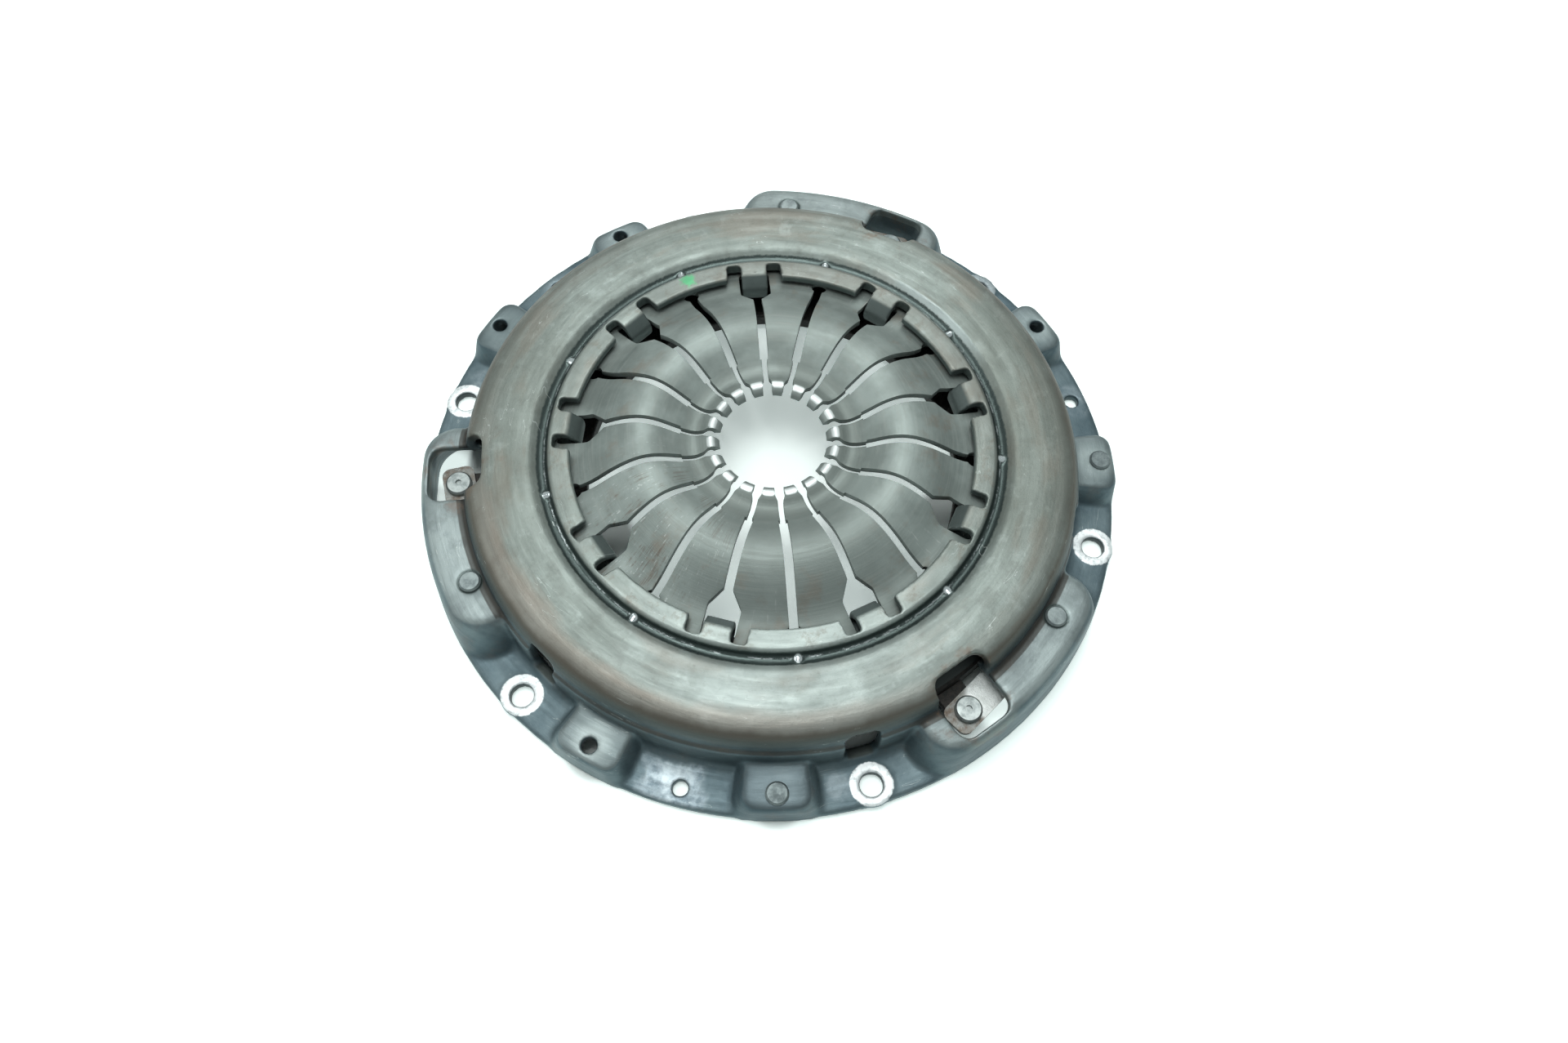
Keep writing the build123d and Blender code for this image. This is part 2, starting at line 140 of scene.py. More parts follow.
def add(tree, kind_and_settings, *inputs, **named_inputs):
    """Adds one node with its settings. What it takes goes into the sockets that it shows, in
    order or by name: a socket or a node is linked, a hex colour or a number is set."""
    kind, settings = kind_and_settings
    node = tree.nodes.new("ShaderNode" + kind)
    for name, value in settings.items():
        setattr(node, name, value)
    shown = [socket for socket in node.inputs if socket.enabled]
    fed = list(zip(shown, inputs))
    fed += [(node.inputs[name], value) for name, value in named_inputs.items()]
    for socket, value in fed:
        if isinstance(value, bpy.types.Node):
            value = shown_first(value)
        if isinstance(value, bpy.types.NodeSocket):
            tree.links.new(socket, value)
        else:
            socket.default_value = linear(value) if isinstance(value, str) else value
    return node


def overlap(tree, *masks):
    """1 only where every mask is 1; a number among them sets how strong the whole is."""
    whole = masks[0]
    for mask in masks[1:]:
        whole = add(tree, TIMES, whole, mask)
    return whole


def band(tree, value, low, high, edge):
    """1 between low and high, falling to 0 over edge on each side."""
    return overlap(tree, add(tree, EASE, value, low - edge, low),
                   add(tree, EASE, value, high + edge, high))


def wander(tree, value, pattern, reach):
    """A distance or level that strays by up to half of reach, so that its edge is ragged."""
    return add(tree, PLUS, value, add(tree, TIMES, add(tree, MINUS, pattern, 0.5), reach))


def lay(tree, below, colour, *masks):
    """Lays a colour over what is below, where every mask is 1."""
    return add(tree, OVERLAY, overlap(tree, *masks), below, colour)


class Place:
    """Where a point of the surface lies: plain, and round the crankshaft axis."""

    def __init__(self, tree):
        self.tree = tree
        self.point = add(tree, COORDINATES).outputs["Object"]
        across, along, self.height = add(tree, AXES, self.point).outputs
        flat = add(tree, JOINED, across, along)
        self.radius = add(tree, LENGTH, flat)
        self.direction = add(tree, UNIT, flat)
        self.angle = add(tree, BEARING, along, across)
        self.upward = add(tree, AXES, add(tree, SURFACE).outputs["Normal"]).outputs["Z"]

    def spread(self, along, across):
        """Coordinates that follow the circle and close on themselves, stretched so that noise
        of size 1 is along metres long round the circle and across metres wide."""
        tree = self.tree
        round_way = add(tree, STRETCH, self.direction, PATTERN_RADIUS / along)
        outwards = add(tree, MINUS, self.radius, self.height)
        level = add(tree, JOINED, Z=add(tree, TIMES, outwards, 1 / across))
        return add(tree, SUM, round_way, level)

    def distance_to(self, centre_radius, first_angle, count):
        """Distance in plan to the nearest of count places spread evenly on a circle."""
        tree, spacing = self.tree, 2 * math.pi / count
        turn = add(tree, OVER, add(tree, MINUS, self.angle, math.radians(first_angle)), spacing)
        local = add(tree, TIMES, add(tree, MINUS, turn, add(tree, ROUNDED, turn)), spacing)
        out = add(tree, MINUS, add(tree, TIMES, add(tree, COSINE, local), self.radius),
                  centre_radius)
        side = add(tree, TIMES, add(tree, SINE, local), self.radius)
        return add(tree, ROOT, add(tree, PLUS, add(tree, TIMES, out, out),
                                   add(tree, TIMES, side, side)))

    def near(self, centre_radius, angle, outer, inner, strength=1.0):
        """A patch of full strength within inner of one place, faded out at outer."""
        return add(self.tree, EASE, self.distance_to(centre_radius, angle, 1), outer, inner,
                   0.0, strength)


def start_material(name, metallic, roughness):
    """A new material with its shader, ready for its pattern."""
    material = bpy.data.materials.new(name)
    material.use_nodes = True
    tree = material.node_tree
    shader = tree.nodes["Principled BSDF"]
    shader.inputs["Metallic"].default_value = metallic
    shader.inputs["Roughness"].default_value = roughness
    return material, tree, shader


def finish_material(tree, shader, colour, rough, height, depth):
    """Gives the shader its colour, its roughness and a relief depth metres deep."""
    relief = add(tree, RELIEF, Strength=1.0, Distance=depth, Height=height)
    for name, node in (("Base Color", colour), ("Roughness", rough), ("Normal", relief)):
        tree.links.new(shader.inputs[name], shown_first(node))


def oiled_dome(tree, at, cloud, blotch, smear, grain):
    """The dome: dull grey-brown, with clouds and smears of dried oil, paler where it has been
    wiped, with a painted highlight on its near side, darker on two sides, browner towards
    its shoulder and painted shade low on the shoulder."""
    bands = add(tree, NOISE, at.spread(0.200, 0.006), 1, 2, 0.5)
    tan = add(tree, NOISE, at.spread(0.050, 0.012), 1, 4, 0.6)
    dome = lay(tree, "#6b746f", "#79837e", add(tree, EASE, cloud, 0.35, 0.65))
    dome = lay(tree, dome, "#8b9590", add(tree, EASE, bands, 0.4, 0.65, 0, 0.4))
    dome = lay(tree, dome, "#616762", add(tree, EASE, blotch, 0.50, 0.68, 0, 0.5))
    dome = lay(tree, dome, "#98a39f", add(tree, EASE, blotch, 0.46, 0.34, 0, 0.35))
    dome = lay(tree, dome, "#5c625d", add(tree, EASE, smear, 0.52, 0.72, 0, 0.25))
    dome = lay(tree, dome, "#9ba7a3", add(tree, EASE, smear, 0.46, 0.3, 0, 0.2))
    dome = lay(tree, dome, "#736b60", add(tree, EASE, tan, 0.5, 0.68, 0, 0.45))
    # painted highlight: the dome's near side is paler where the light falls on it
    dome = lay(tree, dome, "#a3afac", at.near(0.1030, 228, 0.085, 0.030),
               add(tree, EASE, cloud, 0.3, 0.6, 0.4, 1.0), 0.55)
    # the dome is darker on two sides
    darker_sides = add(tree, LARGER, at.near(0.1070, 318, 0.080, 0.030, 0.45),
                 at.near(0.1070, 132, 0.070, 0.025, 0.35))
    dome = lay(tree, dome, "#585d56", darker_sides)
    uneven = add(tree, PLUS, at.radius, add(tree, TIMES, cloud, 0.012))
    brown_side = add(tree, EASE, at.distance_to(0.1180, 195, 1), 0.150, 0.060, 0.12, 0.55)
    dome = lay(tree, dome, "#71675d", add(tree, EASE, uneven, *DOME_BROWNED), brown_side)
    dome = lay(tree, dome, "#50554f", add(tree, EASE, grain, 0.55, 0.8, 0, 0.3))

    # painted shade on the dome's shoulder: brownish, then darker, as it rolls into the skirt
    outside = add(tree, EASE, at.radius, *DOME_EDGE)
    rolled = add(tree, EASE, wander(tree, at.height, cloud, 0.003), *CROWN_LEVEL)
    dome = lay(tree, dome, "#4f4b43", outside, rolled, 0.85)
    return lay(tree, dome, "#424b4a", outside, add(tree, EASE, at.height, *SHOULDER_LEVEL), 0.88)


def filmed_lugs(tree, at, cloud, blotch, smear):
    """The strap lugs keep a thin bluish film on top."""
    film = lay(tree, "#737e7e", "#8e9a99", add(tree, EASE, cloud, 0.38, 0.62))
    film = lay(tree, film, "#5f6866", at.near(0.1370, 40, 0.090, 0.060, 0.35))
    film = lay(tree, film, "#565f60", add(tree, EASE, smear, 0.5, 0.75, 0, 0.4))
    return lay(tree, film, "#5f696a", add(tree, EASE, blotch, 0.5, 0.64, 0, 0.35))


def greased_flange(tree, at, skin, cloud, grain, flat, beyond, steep):
    """The walls, the skirt's foot and the flange are greasy black, the steep walls darkened more
    with painted shade; the pads are wiped grey, and the flange is smudged pale where it has been
    handled."""
    black = lay(tree, "#47585e", "#5f6f73", add(tree, EASE, cloud, 0.35, 0.65))
    black = lay(tree, black, "#5c6a6e", add(tree, EASE, grain, 0.58, 0.75, 0, 0.35))
    low = overlap(tree, add(tree, EASE, at.height, *FLANGE_WALL_LEVEL), beyond)
    # the steep walls are painted near-black: greasy, and painted shade
    skin = lay(tree, skin, black, steep, 0.85)
    skin = lay(tree, skin, black, low)

    wiped = lay(tree, "#717e7e", "#95a19f", add(tree, EASE, cloud, 0.4, 0.62))
    wiped = lay(tree, wiped, "#59666a", at.near(0.1375, 225, 0.020, 0.012, 0.9))
    wiped = lay(tree, wiped, "#a7b1af", at.near(0.1375, 195, 0.009, 0.004, 0.4))
    pad_top = overlap(tree, flat, add(tree, EASE, at.height, *PAD_LEVEL), low)
    skin = lay(tree, skin, wiped, pad_top, 0.85)
    nearest_pad = add(tree, SMALLER, *(at.distance_to(*pad) for pad in SIDE_PADS))
    ragged_pad = wander(tree, nearest_pad, cloud, 0.010)
    skin = lay(tree, skin, "#3c494d", pad_top,
               add(tree, EASE, ragged_pad, 0.0050, 0.0115, 0, 0.6))

    mottle = add(tree, NOISE, at.point, 1 / 0.0035, 5, 0.7)
    watery = add(tree, NOISE, at.point, 1 / 0.0080, 3, 0.5)
    smudged = lay(tree, "#5b6a71", "#a3b1b5", add(tree, EASE, mottle, 0.36, 0.60))
    washed = lay(tree, "#66767d", "#b0bdc1", add(tree, EASE, watery, 0.38, 0.6))
    by_pads = wander(tree, at.distance_to(0.1370, 90, 3), cloud, 0.012)
    worn_side = wander(tree, at.distance_to(0.1385, 208.5, 1), watery, 0.020)
    patch = add(tree, LARGER, add(tree, EASE, by_pads, 0.0100, 0.0060, 0, 0.25),
                add(tree, EASE, worn_side, 0.0140, 0.0075))
    patch = add(tree, LARGER, patch, add(tree, EASE, at.distance_to(*BESIDE_BOLTS),
                                         0.0065, 0.0035, 0, 0.3))
    on_flange = overlap(tree, flat, add(tree, EASE, at.height, *FLANGE_LEVEL), low)
    return lay(tree, skin, lay(tree, smudged, washed, 0.6), on_flange, patch)


def stained_lip(tree, at, skin, cloud):
    """The inner lip: rubbed a little paler, with specks of grime and one brown stain."""
    lip_top = overlap(tree, add(tree, EASE, at.radius, *LIP),
                      add(tree, EASE, at.height, *LIP_LEVEL))
    skin = lay(tree, skin, "#a0aaa6", lip_top, add(tree, EASE, cloud, 0.65, 0.4, 0.05, 0.25))
    specks = add(tree, NOISE, at.point, 1 / 0.006, 6, 0.7)
    skin = lay(tree, skin, "#69655b", lip_top, add(tree, EASE, specks, 0.52, 0.66, 0, 0.45))
    return lay(tree, skin, "#625e56", at.near(0.0860, 20, 0.110, 0.050),
               add(tree, EASE, at.radius, *LIP_RIM), add(tree, EASE, cloud, 0.3, 0.55), 0.45)


def bolt_marks(tree, at, skin, grain, ragged):
    """A worn ring under each bolt head, with painted sheen on its flat and painted shade on its
    slope, and painted shade on the wall of its hole.
    """
    ring = add(tree, PLUS, at.distance_to(*BOLT_SEATS), ragged)
    seat = overlap(tree, add(tree, EASE, ring, 0.0086, 0.0080),
                   add(tree, EASE, at.height, *SEAT_LEVEL))
    fresh = add(tree, EASE, at.distance_to(*FIRST_BOLT_SEAT), 0.010, 0.020, 0.25, 1.0)
    # painted shade on the seat's sloping faces
    skin = lay(tree, skin, "#76838a", seat, add(tree, EASE, at.upward, 0.75, 0.45), 0.8)
    # the flat of the seat is worn bright, with painted sheen
    scour_and_sheen = lay(tree, "#dfe6e6", "#b2baba", add(tree, EASE, grain, 0.45, 0.7))
    skin = lay(tree, skin, scour_and_sheen, seat, fresh, add(tree, EASE, at.upward, 0.45, 0.75))
    # painted shade on the wall of the bolt hole
    bore_shade = overlap(tree, seat, add(tree, EASE, ring, 0.0049, 0.0046),
                   add(tree, EASE, at.height, *BORE_LEVEL))
    return lay(tree, skin, "#3a4242", bore_shade, 0.9)


def pressed_cover_steel():
    """Deep-drawn steel, handled and oiled: a dull grey-brown dome with smears along the circle,
    walls and flange nearly black and greasy, painted shade and glints in the groove and corners,
    and bright seats under the bolt heads."""
    material, tree, shader = start_material("pressed_cover_steel", 0.75, 0.5)
    at = Place(tree)

    # clouds of dried oil 30 mm across, blotches of 11 mm, smears 30 mm long, grain of 2 mm
    cloud = add(tree, NOISE, at.point, 1 / 0.030, 5, 0.6)
    blotch = add(tree, NOISE, at.point, 1 / 0.011, 6, 0.65)
    smear = add(tree, NOISE, at.spread(0.030, 0.003), 1, 5, 0.65)
    grain = add(tree, NOISE, at.point, 1 / 0.002, 4, 0.7)
    ragged = add(tree, TIMES, add(tree, MINUS, grain, 0.5), 0.0014)

    flat = add(tree, EASE, at.upward, 0.70, 0.90)
    beyond = add(tree, EASE, at.radius, *PAST_SKIRT)
    steep = overlap(tree, add(tree, MINUS, 1.0, flat), add(tree, EASE, at.height, *WALL_LEVEL),
                    add(tree, EASE, at.radius, *SKIRT_WALL))
    skin = oiled_dome(tree, at, cloud, blotch, smear, grain)
    skin = lay(tree, skin, filmed_lugs(tree, at, cloud, blotch, smear), beyond,
               add(tree, EASE, at.height, *LUG_LEVEL))
    skin = greased_flange(tree, at, skin, cloud, grain, flat, beyond, steep)

    # the window's cut faces and rim are painted lighter than the walls, as a painted highlight
    skin = lay(tree, skin, "#75817f", add(tree, EASE, at.distance_to(*WINDOWS), 0.0195, 0.0165),
               beyond, band(tree, at.height, *WINDOW_LEVEL, 0.0006),
               add(tree, MINUS, 1.0, flat), 0.8)

    # a dark brown line of painted shade where the lugs meet the skirt, and a brown stain on the
    # lip
    skin = lay(tree, skin, "#332f2a", band(tree, at.radius, *SKIRT_FOOT, 0.0006),
               band(tree, at.height, *SEAM_LEVEL, 0.0008), 0.75)
    skin = stained_lip(tree, at, skin, cloud)

    # the groove, every corner and the gap round each cover rivet are painted dark: greasy, and
    # painted shade; in the groove, a painted glint line and bright pips
    rim = add(tree, PLUS, at.radius, ragged)
    groove = overlap(tree, band(tree, rim, *GROOVE, 0.0008),
                     add(tree, EASE, at.height, *GROOVE_LEVEL))
    # how open the surface is: closed corners get painted shade
    openness = add(tree, HOLLOWS, Distance=0.006).outputs["AO"]
    corner = add(tree, EASE, add(tree, MINUS, 1.0, openness), 0.34, 0.75, 0, 0.65)
    # painted shade in the gap round each cover rivet
    rivet_gap = overlap(
        tree, add(tree, EASE, at.distance_to(*COVER_RIVETS), 0.0062, 0.0055, 0, 0.9),
        add(tree, EASE, at.height, *RIVET_GAP_LEVEL))
    grease_and_shade = add(tree, LARGER, add(tree, LARGER, groove, corner), rivet_gap)
    skin = lay(tree, skin, "#3d4846", grease_and_shade)
    broken = add(tree, NOISE, at.spread(0.006, 0.010), 1, 4, 0.7)
    # a painted glint line along the groove, as light on oil
    oily_glint = overlap(tree, band(tree, rim, *GROOVE_LINE, 0.0003),
                   add(tree, EASE, broken, 0.42, 0.60), groove, 0.65)
    pip = overlap(tree, add(tree, EASE, at.distance_to(*GROOVE_PIPS), 0.0018, 0.0012),
                  add(tree, EASE, at.height, *PIP_LEVEL))
    gleam = add(tree, LARGER, oily_glint, pip)
    skin = lay(tree, skin, "#b7c0c1", gleam)
    clean_and_unshaded = add(tree, MINUS, 1.0, grease_and_shade)
    # a painted highlight on one side of the groove's rolled outer rim
    roll_highlight = overlap(tree, band(tree, at.radius, *GROOVE_ROLL, 0.0010),
                   at.near(0.0965, -3, 0.038, 0.010))
    skin = lay(tree, skin, "#a9b7b6", roll_highlight, clean_and_unshaded, 0.6)

    # painted shade on the lip's blanked inner edge and on the bent legs of the tabs, which are
    # dirty too; painted shade on every face that looks down
    skin = lay(tree, skin, "#4d5857", add(tree, EASE, at.radius, *LIP_RIM),
               add(tree, EASE, at.height, *LIP_EDGE_LEVEL), 0.85)
    skin = lay(tree, skin, "#333b3b", add(tree, EASE, at.upward, -0.2, -0.6), 0.9)

    # rust bloom beside the windows and low on the walls
    bloom = add(tree, NOISE, at.point, 1 / 0.011, 6, 0.7)
    by_window = add(tree, EASE, at.distance_to(0.1270, 19.3, 3), 0.024, 0.012)
    skin = lay(tree, skin, "#705a49", add(tree, EASE, bloom, 0.5, 0.68),
               add(tree, LARGER, by_window, add(tree, TIMES, steep, 0.3)), 0.5)

    # edges rubbed bright, and a few hairline scratches
    edge = overlap(tree, add(tree, EASE, add(tree, SURFACE).outputs["Pointiness"], 0.53, 0.60),
                   add(tree, EASE, cloud, 0.4, 0.6), clean_and_unshaded, 0.5)
    scratch_run = add(tree, NOISE, at.spread(0.020, 0.0028), 1, 2, 0.4)
    scratch = overlap(tree, band(tree, scratch_run, 0.598, 0.6, 0.004),
                      add(tree, EASE, cloud, 0.5, 0.62), 0.6)
    skin = lay(tree, skin, "#b9c1be", add(tree, LARGER, edge, scratch))
    skin = bolt_marks(tree, at, skin, grain, ragged)

    # dab of green marking paint on the lip
    dab_at = add(tree, PLUS, at.distance_to(0.0865, 69.4, 1), add(tree, TIMES, ragged, 5.0))
    skin = lay(tree, skin, "#3fae72", add(tree, EASE, dab_at, 0.0042, 0.0018, 0, 0.65),
               add(tree, EASE, at.height, *DAB_LEVEL))

    rough = add(tree, MINUS, add(tree, EASE, smear, 0.3, 0.75, 0.46, 0.6),
                add(tree, TIMES, grease_and_shade, 0.2))
    rough = add(tree, MINUS, rough, add(tree, TIMES, add(tree, LARGER, gleam, roll_highlight), 0.15))
    height = add(tree, PLUS, grain, add(tree, TIMES, smear, 1.5))
    finish_material(tree, shader, skin, rough, height, 0.0001)
    return material


def tempered_spring_steel():
    """Hardened strip, shot-peened, then rubbed by the release bearing: dull dark grey with
    fine rings, rub strokes and rust clouds, and small bright flats on the finger tips."""
    material, tree, shader = start_material("tempered_spring_steel", 0.65, 0.55)
    at = Place(tree)

    # clouds 22 mm across, rings 1.1 mm wide from rolling, grain of 1.6 mm from peening
    cloud = add(tree, NOISE, at.point, 1 / 0.022, 4, 0.6)
    rings = add(tree, NOISE, at.spread(0.050, 0.0011), 1, 3, 0.6)
    grain = add(tree, NOISE, at.point, 1 / 0.0016, 3, 0.6)
    skin = lay(tree, "#737d79", "#88938f", add(tree, EASE, cloud, 0.35, 0.65))
    skin = lay(tree, skin, "#979d98", add(tree, EASE, rings, 0.45, 0.75, 0, 0.3))
    skin = lay(tree, skin, "#4c534e", band(tree, at.radius, 0.0285, 0.0350, 0.005), 0.35)

    # rust clouds and rub strokes on the outer half
    bloom = add(tree, NOISE, at.point, 1 / 0.017, 5, 0.65)
    skin = lay(tree, skin, "#776655", add(tree, EASE, bloom, 0.52, 0.7),
               add(tree, EASE, at.radius, 0.050, 0.066), 0.4)
    rub_run = add(tree, NOISE, at.spread(0.0016, 0.010), 1, 2, 0.5)
    skin = lay(tree, skin, "#b4bab6", add(tree, EASE, rub_run, 0.62, 0.72),
               add(tree, EASE, cloud, 0.52, 0.64), add(tree, EASE, at.radius, 0.060, 0.068), 0.5)

    # one side is scored brown, with bright flecks between the strokes
    one_side = at.near(0.0620, 176, 0.045, 0.015)
    stroke_run = add(tree, NOISE, at.spread(0.0011, 0.014), 1, 3, 0.6)
    torn = add(tree, NOISE, at.point, 1 / 0.009, 5, 0.7)
    skin = lay(tree, skin, "#5a4b3f", one_side, add(tree, EASE, torn, 0.48, 0.62),
               add(tree, EASE, stroke_run, 0.50, 0.60), 0.55)
    skin = lay(tree, skin, "#b9c0bd", one_side, add(tree, EASE, stroke_run, 0.42, 0.34),
               add(tree, EASE, grain, 0.5, 0.62), 0.6)

    # painted shade on the underside, and painted shade with dirt on what the groove hides; the
    # spring is darker on one side
    shade_and_dirt_below = add(tree, LARGER, add(tree, EASE, at.upward, 0.1, -0.3, 0, 0.8),
                 add(tree, EASE, at.radius, 0.0885, 0.0905))
    skin = lay(tree, skin, "#303635", shade_and_dirt_below)
    skin = lay(tree, skin, "#555d59", at.near(0.0560, 228, 0.050, 0.018),
               add(tree, EASE, cloud, 0.35, 0.55), 0.4)

    # bright flats where the bearing runs on the tips, and the noses painted paler, as light
    # thrown up from the floor
    tip_at = wander(tree, at.distance_to(*FINGER_TIPS), grain, 0.0014)
    tip = overlap(tree, add(tree, EASE, tip_at, 0.0029, 0.0020),
                  band(tree, at.radius, 0.0239, 0.0265, 0.0006),
                  add(tree, EASE, at.upward, 0.4, 0.65))
    skin = lay(tree, skin, "#b7bfbd", tip)
    skin = lay(tree, skin, "#87908d", add(tree, EASE, at.radius, 0.0238, 0.0232), 0.6)

    rough = add(tree, MINUS, add(tree, EASE, rings, 0.35, 0.7, 0.52, 0.62),
                add(tree, TIMES, tip, 0.15))
    height = add(tree, PLUS, rings, add(tree, TIMES, grain, 0.6))
    finish_material(tree, shader, skin, rough, height, 0.00006)
    return material


def turned_cast_iron():
    """Sand-cast iron with a rough dark skin, and a face turned in fine rings that the disc has
    polished and blued in patches."""
    material, tree, shader = start_material("turned_cast_iron", 0.6, 0.6)
    at = Place(tree)

    # sand grain drawn as coarse as 1.8 mm to show, tool marks 0.8 mm wide, blued patches 40 mm
    grain = add(tree, NOISE, at.point, 1 / 0.0018, 5, 0.75)
    rings = add(tree, NOISE, at.spread(0.300, 0.0008), 1, 3, 0.6)
    heat = add(tree, NOISE, at.spread(0.040, 0.020), 1, 3, 0.5)
    face = overlap(tree, add(tree, EASE, at.upward, -0.9, -0.98),
                   add(tree, EASE, at.height, *TURNED_LEVEL))
    polished = lay(tree, "#767b7a", "#a7abaa", add(tree, EASE, rings, 0.35, 0.7))
    polished = lay(tree, polished, "#5a5f74", add(tree, EASE, heat, 0.52, 0.7), 0.5)
    skin = lay(tree, "#242726", "#3b3834", add(tree, EASE, grain, 0.35, 0.7))
    skin = lay(tree, skin, polished, face)
    rough = lay(tree, "#c0c0c0", "#8a8a8a", face)
    height = add(tree, PLUS, overlap(tree, face, rings, 0.4),
                 add(tree, TIMES, grain, add(tree, MINUS, 1.0, face)))
    finish_material(tree, shader, skin, rough, height, 0.0003)
    return material


def rusted_strap_steel():
    """Rolled spring strip: grey with brown bloom, flaking pale, one end worn bright with a
    painted reflection.
    """
    material, tree, shader = start_material("rusted_strap_steel", 0.6, 0.5)
    at = Place(tree)
    bloom = add(tree, NOISE, at.point, 1 / 0.006, 6, 0.7)
    grain = add(tree, NOISE, at.point, 1 / 0.0012, 4, 0.7)
    skin = lay(tree, "#8b8f8b", "#74685c", add(tree, EASE, bloom, 0.4, 0.64))
    skin = lay(tree, skin, "#b8b2a5", add(tree, EASE, grain, 0.58, 0.75, 0, 0.6))
    scour_and_sheen = lay(tree, "#f2f8f6", "#c9d2cf", bloom)
    # one end worn bright, with a painted reflection of the light above
    skin = lay(tree, skin, scour_and_sheen, at.near(0.1300, 264, 0.0105, 0.0080),
               add(tree, EASE, at.upward, 0.2, 0.5), 0.9)
    rough = add(tree, EASE, bloom, 0.3, 0.7, 0.4, 0.65)
    finish_material(tree, shader, skin, rough, grain, 0.0003)
    return material


def headed_rivet_steel(name, bright, dull, roughness):
    """Cold-headed steel: smooth, with a tarnish mottle of 4 mm."""
    material, tree, shader = start_material(name, 0.8, roughness)
    point = add(tree, COORDINATES).outputs["Object"]
    tarnish = add(tree, NOISE, point, 1 / 0.004, 5, 0.7)
    skin = lay(tree, bright, dull, add(tree, EASE, tarnish, 0.4, 0.68))
    rough = add(tree, EASE, tarnish, 0.3, 0.7, roughness, roughness + 0.15)
    finish_material(tree, shader, skin, rough, tarnish, 0.0001)
    return material


COVER = pressed_cover_steel()
SPRING = tempered_spring_steel()
IRON = turned_cast_iron()
STRAP = rusted_strap_steel()
PLATE_RIVET = headed_rivet_steel("bright_rivet_steel", "#a4adab", "#7f8887", 0.38)
COVER_RIVET = headed_rivet_steel("dull_rivet_steel", "#7f8a89", "#687273", 0.45)
BALANCE_RIVET = headed_rivet_steel("greased_rivet_steel", "#727d7d", "#5a6465", 0.48)


def finish_for(name):
    """Which finish a CAD node has."""
    if name == "cover":
        return COVER
    # plate rivet 1, in the far window, falls through to the dull rivet finish as painted shade
    if name.startswith("plate_rivet") and not name.endswith("_1"):
        return PLATE_RIVET
    if name.startswith("balance_rivet"):
        return BALANCE_RIVET
    if "rivet" in name:
        return COVER_RIVET
    if name.startswith("strap"):
        return STRAP
    if name == "pressure_plate":
        return IRON
    return SPRING


def give_finish(piece, material):
    """Leaves a piece with this one material."""
    piece.data.materials.clear()
    piece.data.materials.append(material)


for name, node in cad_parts.items():
    give_finish(node, finish_for(name))


# ---- pieces shaped further from their solids ----

MERGE_DISTANCE = 1e-6
SHEET_GRID = 0.00075            # grid on which the cover's sheet is formed again
COVER_TRIANGLES = 186000
DRAWN_RADIUS, DRAWN_HEIGHT = 0.1235, 0.0300     # the bulges lie outside and below these
SEAT_REACH, RIVET_REACH, HOLE_REACH = 0.0095, 0.0065, 0.0045    # what stays crisp round each
ALL_OVER_PASSES, DRAWN_PASSES = 3, 16           # how often the sheet is smoothed
SPRING_SPLIT = 0.0925           # the spring tilts on this circle
BROKEN_EDGE = 0.00025
SECTORS, LEAVES = 3, 3          # packs of drive straps, and leaves in each


def working_copy(node, name):
    """A merged copy of a CAD node's mesh, active and alone selected."""
    bpy.ops.object.select_all(action="DESELECT")
    piece = bpy.data.objects.new(name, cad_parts[node].data.copy())
    bpy.context.scene.collection.objects.link(piece)
    piece.select_set(True)
    bpy.context.view_layer.objects.active = piece
    bpy.ops.object.mode_set(mode="EDIT")
    bpy.ops.mesh.select_all(action="SELECT")
    bpy.ops.mesh.remove_doubles(threshold=MERGE_DISTANCE)
    bpy.ops.object.mode_set(mode="OBJECT")
    return piece


def apply(piece, kind, **settings):
    """Adds one modifier to the active piece and applies it."""
    modifier = piece.modifiers.new(kind.lower(), kind)
    for name, value in settings.items():
        setattr(modifier, name, value)
    bpy.ops.object.modifier_apply(modifier=modifier.name)


def near_any(point, centre_radius, first_angle, count, reach):
    """Whether a point lies, in plan, within reach of one of count places on a circle."""
    radius, spacing = math.hypot(point.x, point.y), 2 * math.pi / count
    turn = math.atan2(point.y, point.x) - math.radians(first_angle)
    local = turn - spacing * round(turn / spacing)
    return math.hypot(radius * math.cos(local) - centre_radius,
                      radius * math.sin(local)) < reach


def is_drawn(point):
    """Whether the sheet is free to be soft there: the bulges and the flange, away from the
    bolt seats, the rivets and the pad holes."""
    if math.hypot(point.x, point.y) < DRAWN_RADIUS or point.z > DRAWN_HEIGHT:
        return False
    return not (near_any(point, *BOLT_SEATS, SEAT_REACH)
                or near_any(point, *COVER_RIVETS, RIVET_REACH)
                or any(near_any(point, *holes, HOLE_REACH) for holes in PAD_HOLES))


def cover_pressing():
    """The cover as drawn from sheet: every corner runs out softly."""
    pressing = working_copy("cover", "cover_pressing")
    apply(pressing, "REMESH", mode="VOXEL", voxel_size=SHEET_GRID)
    drawn = pressing.vertex_groups.new(name="drawn")
    drawn.add([v.index for v in pressing.data.vertices if is_drawn(v.co)], 1, "REPLACE")
    apply(pressing, "SMOOTH", factor=0.5, iterations=ALL_OVER_PASSES)
    apply(pressing, "SMOOTH", factor=0.5, iterations=DRAWN_PASSES, vertex_group="drawn")
    triangles = 2 * len(pressing.data.polygons)
    apply(pressing, "DECIMATE", ratio=min(1, COVER_TRIANGLES / triangles))
    bpy.ops.object.shade_smooth()
    give_finish(pressing, COVER)
    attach(pressing, "cover_body")
    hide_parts("cover")


